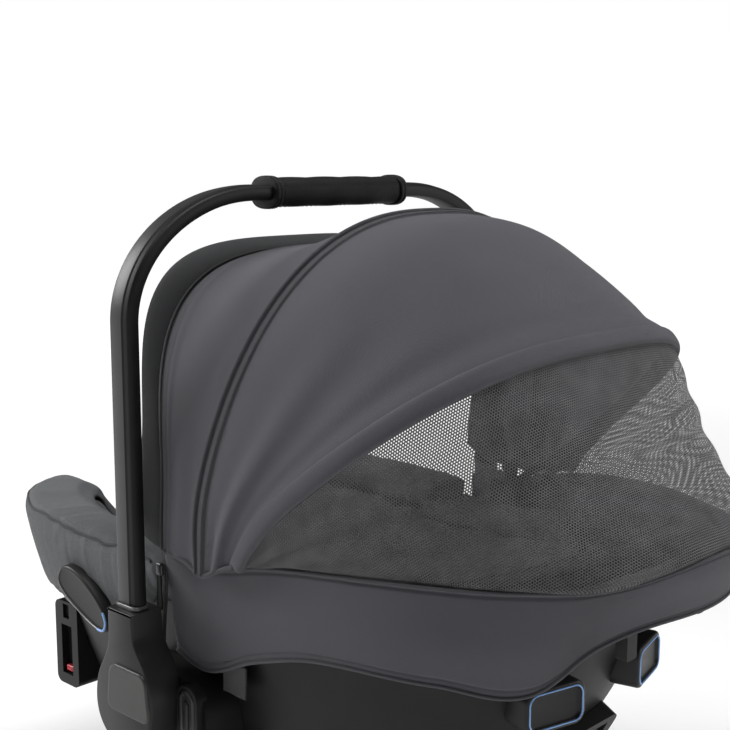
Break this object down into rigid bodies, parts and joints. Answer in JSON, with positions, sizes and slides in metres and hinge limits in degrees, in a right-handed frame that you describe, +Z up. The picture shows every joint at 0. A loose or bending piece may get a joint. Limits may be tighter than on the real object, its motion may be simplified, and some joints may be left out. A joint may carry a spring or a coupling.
{
  "type": "infant car seat",
  "caption": "Rear-facing infant carrier with folding canopy and mesh window, swinging carry handle, padded bowl seat and harness",
  "frame": {"origin": "on the floor under the carry handle's pivot axis, on the base frame's flat bottom", "axes": "+Z up, +Y towards the head end, +X towards the occupant's left"},
  "size_m": [0.46, 0.6861, 0.5828],
  "materials": {
    "shell_plastic": "satin black moulded plastic",
    "button_plastic": "satin dark grey plastic",
    "hub_plastic": "fine-grained black plastic",
    "cover_plate": "blank semi-gloss cover plate",
    "handle_metal": "satin dark anodised",
    "grip_leather": "black grained leatherette",
    "steel": "brushed",
    "foam": "expanded bead foam",
    "seat_fabric": "grey melange knit over padding",
    "canopy_fabric": "charcoal woven canopy cloth",
    "rim_fabric": "dark knit edge band",
    "mesh_fabric": "dark perforated mesh",
    "webbing": "black woven webbing",
    "red_plastic": "red plastic",
    "rubber_black": "black rubber"
  },
  "bodies": {
    "shell": {"adapter_socket_left": "shell_plastic", "adapter_socket_right": "shell_plastic", "adjuster_housing": "button_plastic", "adjuster_strap": "webbing", "base_frame": "shell_plastic", "base_screws": "steel", "belt_guide_left": "shell_plastic", "belt_guide_right": "shell_plastic", "buckle_housing": "button_plastic", "buckle_tongues": "steel", "canopy_bracket_left": "shell_plastic", "canopy_bracket_right": "shell_plastic", "canopy_skirt": "canopy_fabric", "chest_pad_left": "seat_fabric", "chest_pad_right": "seat_fabric", "crotch_strap": "webbing", "foam_liner": "foam", "foot_cushion": "seat_fabric", "grip_strips": "rubber_black", "hip_straps": "webbing", "indicator_tabs": "red_plastic", "latch_bars": "steel", "mesh_window": "mesh_fabric", "pivot_housing_left": "shell_plastic", "pivot_housing_right": "shell_plastic", "pivot_pin_left": "steel", "pivot_pin_right": "steel", "rear_belt_guides": "shell_plastic", "release_housing": "shell_plastic", "seat_pad": "seat_fabric", "shell_tub": "shell_plastic", "shoulder_strap_left": "webbing", "shoulder_strap_right": "webbing", "skirt_hook": "hub_plastic", "skirt_tag": "webbing", "zip_left": "webbing", "zip_right": "webbing"},
    "handle": {"handle_tube": "handle_metal", "handle_grip": "grip_leather", "grip_bands": "grip_leather", "handle_hub_left": "hub_plastic", "handle_hub_right": "hub_plastic", "hub_cover_left": "cover_plate", "hub_cover_right": "cover_plate"},
    "button_left": {"handle_button_left": "button_plastic"},
    "button_right": {"handle_button_right": "button_plastic"},
    "canopy_rear": {"rear_bow": "hub_plastic", "rear_hem": "canopy_fabric", "main_panel": "canopy_fabric"},
    "canopy_middle": {"middle_bow": "hub_plastic", "middle_binding": "canopy_fabric", "front_panel": "canopy_fabric"},
    "canopy_front": {"front_bow": "hub_plastic", "front_rim": "rim_fabric"},
    "zipper_left": {"zip_puller_left": "steel"},
    "zipper_right": {"zip_puller_right": "steel"},
    "release": {"release_lever": "button_plastic"},
    "buckle_press": {"buckle_button": "red_plastic"},
    "adjuster_press": {"adjuster_button": "button_plastic"},
    "pillow": {"head_pillow": "seat_fabric"}
  },
  "joints": [
    {"name": "handle_swing", "type": "hinge", "parent": "shell", "child": "handle", "pos_m": [0, 0, 0.184], "axis": [1, 0, 0], "range_deg": [0, 105]},
    {"name": "button_left_press", "type": "slide", "parent": "shell", "child": "button_left", "axis": [-1, 0, 0], "range_m": [0, 0.004], "stiffness_N_per_m": 600},
    {"name": "button_right_press", "type": "slide", "parent": "shell", "child": "button_right", "axis": [1, 0, 0], "range_m": [0, 0.004], "stiffness_N_per_m": 600},
    {"name": "canopy_rear_fold", "type": "hinge", "parent": "shell", "child": "canopy_rear", "pos_m": [0, 0.055, 0.288], "axis": [-1, 0, 0], "range_deg": [0, 20], "deforming": ["mesh_window"]},
    {"name": "canopy_middle_fold", "type": "hinge", "parent": "canopy_rear", "child": "canopy_middle", "pos_m": [0, 0.055, 0.288], "axis": [-1, 0, 0], "range_deg": [0, 22], "deforming": ["main_panel"]},
    {"name": "canopy_front_fold", "type": "hinge", "parent": "canopy_middle", "child": "canopy_front", "pos_m": [0, 0.055, 0.288], "axis": [-1, 0, 0], "range_deg": [0, 19], "deforming": ["front_panel"]},
    {"name": "zip_slide_left", "type": "slide", "parent": "shell", "child": "zipper_left", "axis": [0, 0, -1], "range_m": [0, 0.035]},
    {"name": "zip_slide_right", "type": "slide", "parent": "shell", "child": "zipper_right", "axis": [0, 0, -1], "range_m": [0, 0.035]},
    {"name": "release_squeeze", "type": "slide", "parent": "shell", "child": "release", "axis": [0, 0.4819, 0.8762], "range_m": [0, 0.008], "stiffness_N_per_m": 600},
    {"name": "buckle_button_press", "type": "slide", "parent": "shell", "child": "buckle_press", "axis": [0, 1, 0], "range_m": [0, 0.004], "stiffness_N_per_m": 600},
    {"name": "adjuster_button_press", "type": "slide", "parent": "shell", "child": "adjuster_press", "axis": [0, 0, -1], "range_m": [0, 0.003], "stiffness_N_per_m": 600},
    {"name": "pillow_height", "type": "slide", "parent": "shell", "child": "pillow", "axis": [0, 0.5, 0.866], "range_m": [0, 0.05]}
  ],
  "couplings": [
    {"joint": "canopy_middle_fold", "follows": "canopy_rear_fold", "ratio": 1.085},
    {"joint": "canopy_front_fold", "follows": "canopy_rear_fold", "ratio": 0.935}
  ]
}
